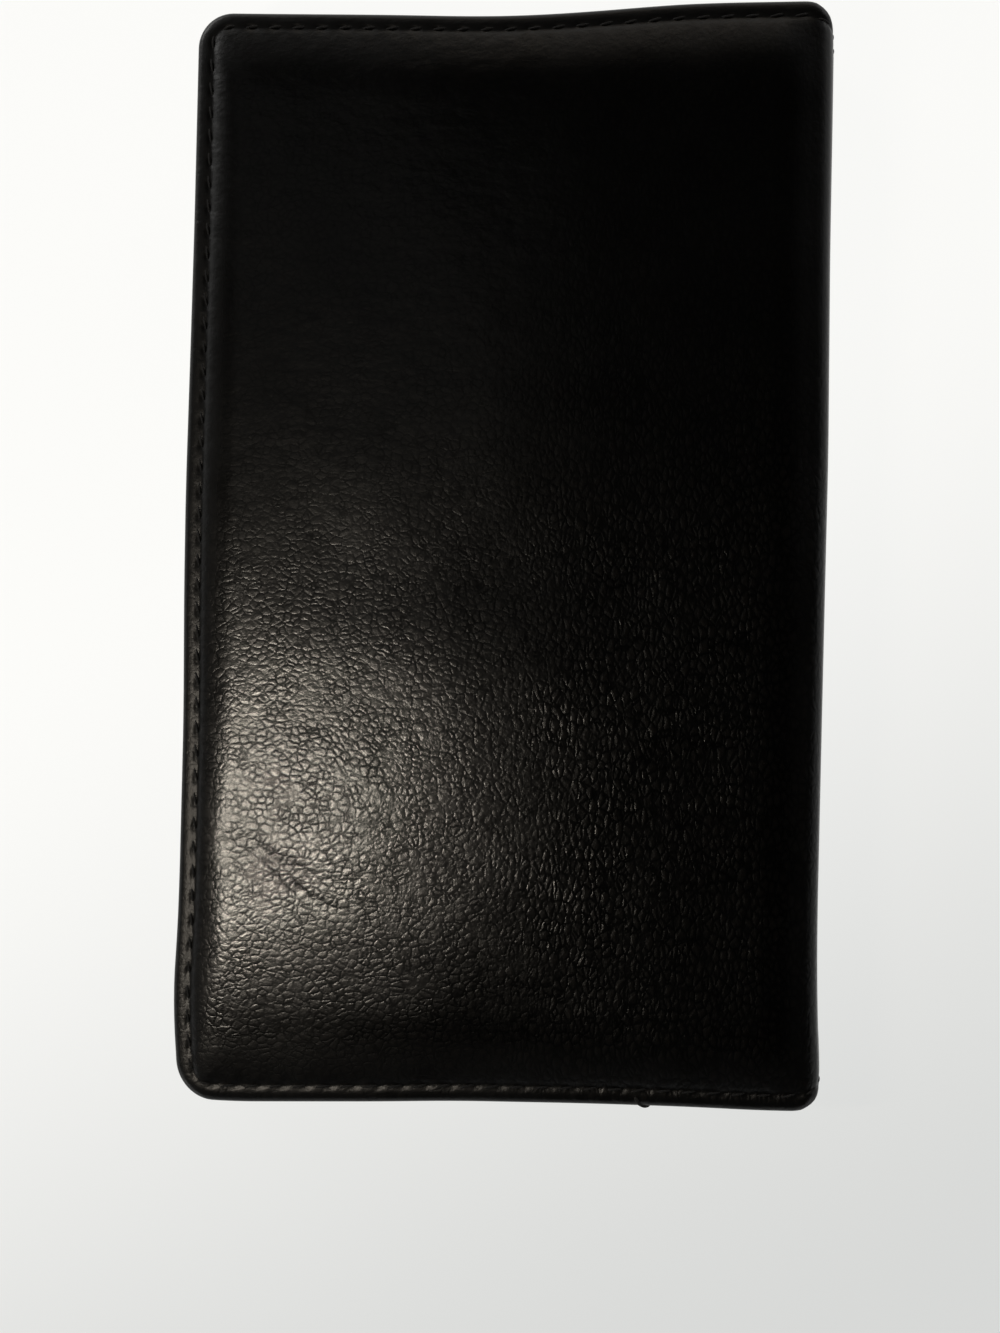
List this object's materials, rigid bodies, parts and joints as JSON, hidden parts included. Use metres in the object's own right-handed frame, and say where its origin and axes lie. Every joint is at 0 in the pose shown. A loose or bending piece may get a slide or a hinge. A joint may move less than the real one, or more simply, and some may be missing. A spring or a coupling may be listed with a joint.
{
  "type": "travel document wallet",
  "caption": "Padded leather book-style travel wallet that folds shut over a gusseted passport pocket, a full-height document pocket and stepped card slots.",
  "frame": {"origin": "bottom centre of the closed wallet's bounding box, on the back cover's rest face", "axes": "+X towards the spine, +Y up the wallet's height, +Z from the back cover to the front cover"},
  "size_m": [0.126, 0.216, 0.0252],
  "materials": {
    "cover_leather": "black pebbled full-grain leather, semi-gloss",
    "pocket_leather": "black smooth leather, satin",
    "lining": "black twill lining",
    "gusset_cloth": "black folded gusset cloth",
    "wadding": "grey felted wadding",
    "stiff_board": "plain fibre board"
  },
  "bodies": {
    "back_leaf": {"back_cover_leather": "cover_leather", "back_wadding": "wadding", "back_board": "stiff_board", "back_lining": "lining", "document_pocket_gusset": "gusset_cloth", "document_pocket_panel": "pocket_leather", "card_panel_1": "pocket_leather", "card_panel_2": "pocket_leather", "card_panel_3": "pocket_leather"},
    "spine": {"spine_leather": "cover_leather", "spine_board": "stiff_board", "spine_lining": "lining"},
    "front_leaf": {"front_cover_leather": "cover_leather", "front_wadding": "wadding", "front_board": "stiff_board", "front_lining": "lining", "boarding_pass_panel": "pocket_leather", "passport_pocket_gusset": "gusset_cloth", "passport_pocket_panel": "pocket_leather"}
  },
  "joints": [
    {"name": "spine_fold", "type": "hinge", "parent": "back_leaf", "child": "spine", "pos_m": [0.06183, 0, 0.00307], "axis": [0, 1, 0], "range_deg": [0, 90]},
    {"name": "cover_fold", "type": "hinge", "parent": "spine", "child": "front_leaf", "pos_m": [0.06183, 0, 0.02213], "axis": [0, 1, 0], "range_deg": [0, 90]}
  ]
}
